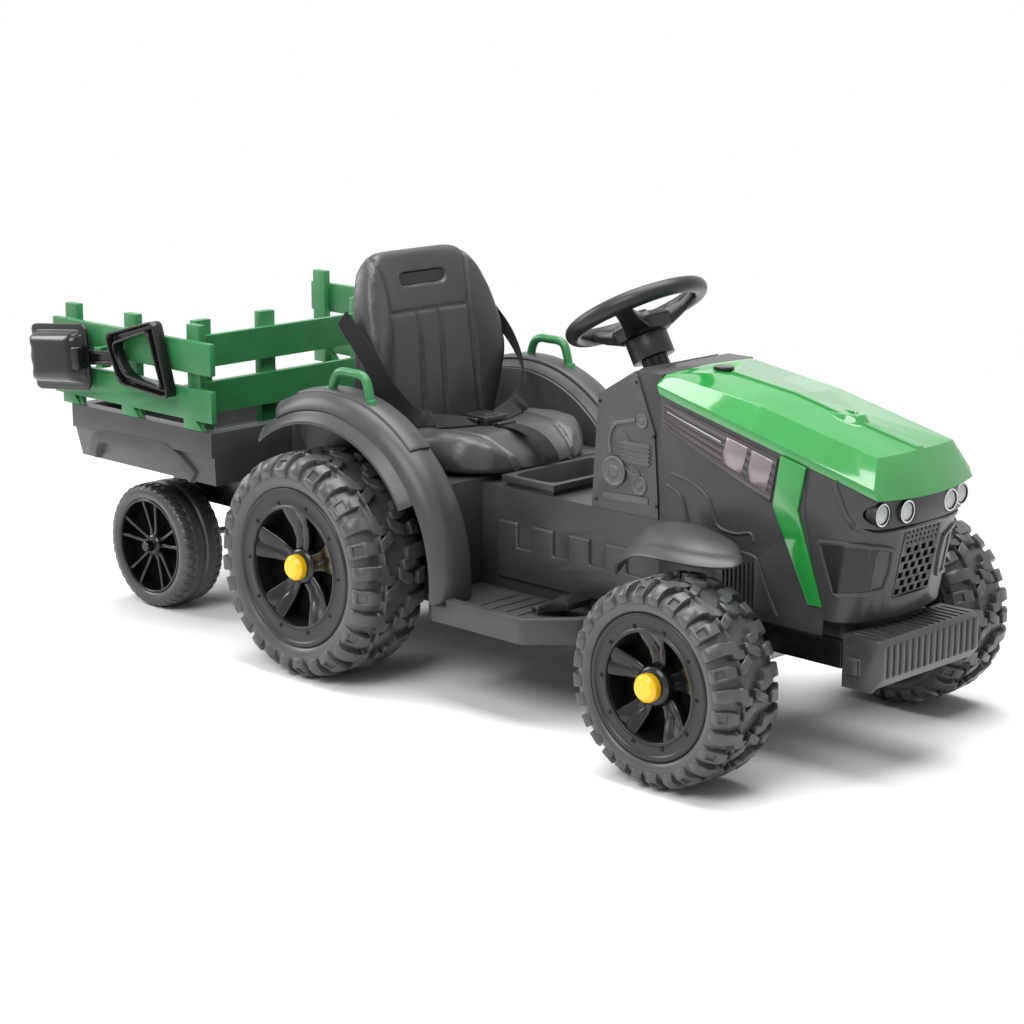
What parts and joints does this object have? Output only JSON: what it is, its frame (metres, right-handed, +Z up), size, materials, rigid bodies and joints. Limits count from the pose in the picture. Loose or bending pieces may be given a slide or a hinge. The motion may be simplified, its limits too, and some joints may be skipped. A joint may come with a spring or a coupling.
{
  "type": "ride-on tractor with trailer",
  "caption": "Child's ride-on tractor with steering, padded seat, storage bin, lugged tyres and a hitched slatted trailer that carries a clip-on shovel.",
  "frame": {"origin": "on the ground, under the middle of the overall length and width", "axes": "+X forward, +Y to the rider's left, +Z up"},
  "size_m": [1.359, 0.556, 0.5339],
  "materials": {
    "body_grey": "satin dark grey moulding",
    "green_gloss": "gloss green",
    "green_satin": "satin green",
    "black_gloss": "gloss black",
    "black_satin": "satin black",
    "tread": "matte dark grey tread",
    "cap_yellow": "gloss yellow",
    "seat_skin": "grained charcoal leather-look",
    "webbing": "black woven webbing",
    "steel": "brushed steel",
    "lens": "clear lens",
    "bright_ring": "bright ring",
    "vent_dark": "gloss dark panel",
    "engine_bronze": "bronze grey cast look"
  },
  "bodies": {
    "tractor": {"floor_pan": "body_grey", "rear_body": "body_grey", "grab_handles": "green_satin", "console": "body_grey", "cowl": "body_grey", "dash_panel": "body_grey", "engine_plates": "engine_bronze", "hood": "green_gloss", "hood_cap": "black_gloss", "hood_strips": "green_gloss", "vent_panels": "vent_dark", "side_covers": "body_grey", "nose_panel": "body_grey", "grille_insert": "black_satin", "headlight_bezels": "bright_ring", "headlight_lenses": "lens", "front_bumper": "black_gloss", "front_frame": "black_gloss", "front_fenders": "body_grey", "front_axle_beam": "steel", "rear_axle": "steel", "gear_motors": "black_satin", "battery": "black_satin", "hitch_bracket": "steel", "seat_back": "seat_skin", "seat_cushion": "seat_skin", "harness": "webbing", "harness_buckle": "black_satin"},
    "steering": {"steering_wheel": "black_satin", "steering_shaft": "black_satin"},
    "horn": {"horn_button": "black_satin"},
    "start": {"start_button": "cap_yellow"},
    "direction": {"direction_rocker": "black_satin"},
    "pedal": {"pedal": "black_satin"},
    "tie_rod": {"tie_rod": "steel"},
    "knuckle_left": {"knuckle_left": "steel"},
    "knuckle_right": {"knuckle_right": "steel"},
    "trailer": {"trailer_tub": "body_grey", "trailer_side_panels": "green_satin", "trailer_front_panel": "green_satin", "trailer_frame": "black_gloss", "trailer_axle": "steel", "hitch_pin": "steel"},
    "shovel": {"shovel": "black_gloss"},
    "front_wheel_left": {"front_wheel_left_tyre": "tread", "front_wheel_left_rim": "black_gloss", "front_wheel_left_cap": "cap_yellow"},
    "front_wheel_right": {"front_wheel_right_tyre": "tread", "front_wheel_right_rim": "black_gloss", "front_wheel_right_cap": "cap_yellow"},
    "rear_wheel_left": {"rear_wheel_left_tyre": "tread", "rear_wheel_left_rim": "black_gloss", "rear_wheel_left_cap": "cap_yellow"},
    "rear_wheel_right": {"rear_wheel_right_tyre": "tread", "rear_wheel_right_rim": "black_gloss", "rear_wheel_right_cap": "cap_yellow"},
    "trailer_wheel_left": {"trailer_wheel_left_tyre": "tread", "trailer_wheel_left_rim": "black_gloss"},
    "trailer_wheel_right": {"trailer_wheel_right_tyre": "tread", "trailer_wheel_right_rim": "black_gloss"}
  },
  "joints": [
    {"name": "steering_turn", "type": "hinge", "parent": "tractor", "child": "steering", "pos_m": [0.2265, 0, 0.4834], "axis": [-0.4924, 0, 0.8704], "range_deg": [-30, 30]},
    {"name": "tie_rod_slide", "type": "slide", "parent": "tractor", "child": "tie_rod", "axis": [0, 1, 0], "range_m": [-0.0215, 0.0215]},
    {"name": "horn_press", "type": "slide", "parent": "steering", "child": "horn", "axis": [0.4924, 0, -0.8704], "range_m": [0, 0.003], "stiffness_N_per_m": 300, "springref_m": -0.002},
    {"name": "start_press", "type": "slide", "parent": "tractor", "child": "start", "axis": [0.5102, 0, -0.8601], "range_m": [0, 0.003], "stiffness_N_per_m": 300, "springref_m": -0.002},
    {"name": "direction_rock", "type": "hinge", "parent": "tractor", "child": "direction", "pos_m": [0.275, 0, 0.4135], "axis": [0, 1, 0], "range_deg": [-10, 0]},
    {"name": "pedal_press", "type": "hinge", "parent": "tractor", "child": "pedal", "pos_m": [0.2045, -0.13, 0.131], "axis": [0, 1, 0], "range_deg": [0, 7], "stiffness_Nm_per_rad": 2, "springref_deg": -5.73},
    {"name": "trailer_yaw", "type": "hinge", "parent": "tractor", "child": "trailer", "pos_m": [-0.2725, 0, 0.18], "axis": [0, 0, 1], "range_deg": [-9, 9]},
    {"name": "shovel_lift_off", "type": "slide", "parent": "trailer", "child": "shovel", "axis": [0, -1, 0], "range_m": [0, 0.12]},
    {"name": "knuckle_left_steer", "type": "hinge", "parent": "tractor", "child": "knuckle_left", "pos_m": [0.4895, 0.16, 0.12], "axis": [0, 0, 1], "range_deg": [-20, 20]},
    {"name": "front_wheel_left_spin", "type": "hinge", "parent": "knuckle_left", "child": "front_wheel_left", "pos_m": [0.4895, 0.223, 0.12], "axis": [0, 1, 0], "continuous": true},
    {"name": "rear_wheel_left_spin", "type": "hinge", "parent": "tractor", "child": "rear_wheel_left", "pos_m": [-0.1175, 0.213, 0.146], "axis": [0, 1, 0], "continuous": true},
    {"name": "trailer_wheel_left_spin", "type": "hinge", "parent": "trailer", "child": "trailer_wheel_left", "pos_m": [-0.5245, 0.149, 0.0885], "axis": [0, 1, 0], "continuous": true},
    {"name": "knuckle_right_steer", "type": "hinge", "parent": "tractor", "child": "knuckle_right", "pos_m": [0.4895, -0.16, 0.12], "axis": [0, 0, 1], "range_deg": [-20, 20]},
    {"name": "front_wheel_right_spin", "type": "hinge", "parent": "knuckle_right", "child": "front_wheel_right", "pos_m": [0.4895, -0.223, 0.12], "axis": [0, 1, 0], "continuous": true},
    {"name": "rear_wheel_right_spin", "type": "hinge", "parent": "tractor", "child": "rear_wheel_right", "pos_m": [-0.1175, -0.213, 0.146], "axis": [0, 1, 0], "continuous": true},
    {"name": "trailer_wheel_right_spin", "type": "hinge", "parent": "trailer", "child": "trailer_wheel_right", "pos_m": [-0.5245, -0.149, 0.0885], "axis": [0, 1, 0], "continuous": true}
  ],
  "couplings": [
    {"joint": "knuckle_left_steer", "follows": "steering_turn", "ratio": 0.66},
    {"joint": "knuckle_right_steer", "follows": "steering_turn", "ratio": 0.66},
    {"joint": "tie_rod_slide", "follows": "steering_turn", "m_per_rad": -0.0387}
  ]
}
